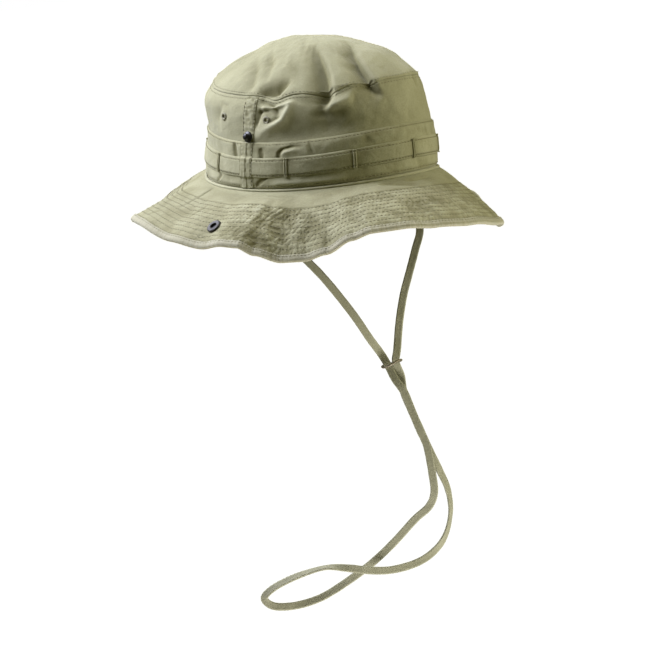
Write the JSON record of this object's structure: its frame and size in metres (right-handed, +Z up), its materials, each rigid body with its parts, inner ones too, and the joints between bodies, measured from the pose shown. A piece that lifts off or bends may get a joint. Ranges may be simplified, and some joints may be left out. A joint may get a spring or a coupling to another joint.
{
  "type": "boonie hat",
  "caption": "Sage cotton boonie hat with a soft crown, stitched brim with side snaps, foliage band, vents and a chin cord with a disc slider.",
  "frame": {"origin": "centre of the head opening, level with the base seam at the sides", "axes": "+Z up through the crown, -Y towards the front of the hat, -X towards the wearer's right"},
  "size_m": [0.2845, 0.3146, 0.4451],
  "materials": {
    "cotton": "matt woven cotton, washed",
    "thread": "matt sewing thread",
    "tape": "matt tape",
    "painted_eyelet": "satin paint",
    "black_snap": "gloss black",
    "gunmetal_snap": "satin gunmetal",
    "slider_bronze": "dull dark bronze"
  },
  "bodies": {
    "hat": {"crown_tip": "cotton", "side_panel_front": "cotton", "side_panel_back": "cotton", "tip_seam_tape": "tape", "hat_band_front": "cotton", "hat_band_back": "cotton", "foliage_band_front": "cotton", "foliage_band_back": "cotton", "bar_tack_01": "thread", "bar_tack_02": "thread", "bar_tack_03": "thread", "bar_tack_04": "thread", "bar_tack_05": "thread", "bar_tack_06": "thread", "bar_tack_07": "thread", "bar_tack_08": "thread", "bar_tack_09": "thread", "bar_tack_10": "thread", "side_seam_right": "cotton", "side_seam_left": "cotton", "band_seam_right": "cotton", "band_seam_left": "cotton", "sweatband": "cotton", "base_piping": "cotton", "care_label": "tape", "vent_right_front": "painted_eyelet", "vent_right_back": "painted_eyelet", "vent_left_front": "painted_eyelet", "vent_left_back": "painted_eyelet", "vent_washer_right_front": "painted_eyelet", "vent_washer_right_back": "painted_eyelet", "vent_washer_left_front": "painted_eyelet", "vent_washer_left_back": "painted_eyelet", "crown_stud_right": "black_snap", "crown_stud_left": "black_snap", "stud_back_right": "black_snap", "stud_back_left": "black_snap", "brim_upper_front": "cotton", "brim_upper_back": "cotton", "brim_under_front": "cotton", "brim_under_back": "cotton", "brim_binding_front": "cotton", "brim_binding_back": "cotton", "chin_cord": "cotton", "cord_tab_right": "cotton", "cord_tab_left": "cotton"},
    "brim_flap_right": {"brim_upper_flap_right": "cotton", "brim_under_flap_right": "cotton", "brim_binding_flap_right": "cotton", "brim_socket_right": "gunmetal_snap", "brim_cap_right": "black_snap"},
    "brim_flap_left": {"brim_upper_flap_left": "cotton", "brim_under_flap_left": "cotton", "brim_binding_flap_left": "cotton", "brim_socket_left": "gunmetal_snap", "brim_cap_left": "black_snap"},
    "slider": {"cord_slider": "slider_bronze"}
  },
  "joints": [
    {"name": "brim_fold_right", "type": "hinge", "parent": "hat", "child": "brim_flap_right", "pos_m": [-0.0856, 0, -0.0006], "axis": [0, 1, 0], "range_deg": [0, 115]},
    {"name": "brim_fold_left", "type": "hinge", "parent": "hat", "child": "brim_flap_left", "pos_m": [0.0856, 0, 0.0009], "axis": [0, -1, 0], "range_deg": [0, 107]},
    {"name": "cord_slide", "type": "slide", "parent": "hat", "child": "slider", "axis": [0.146, -0.3341, -0.9312], "range_m": [0, 0.06]}
  ]
}
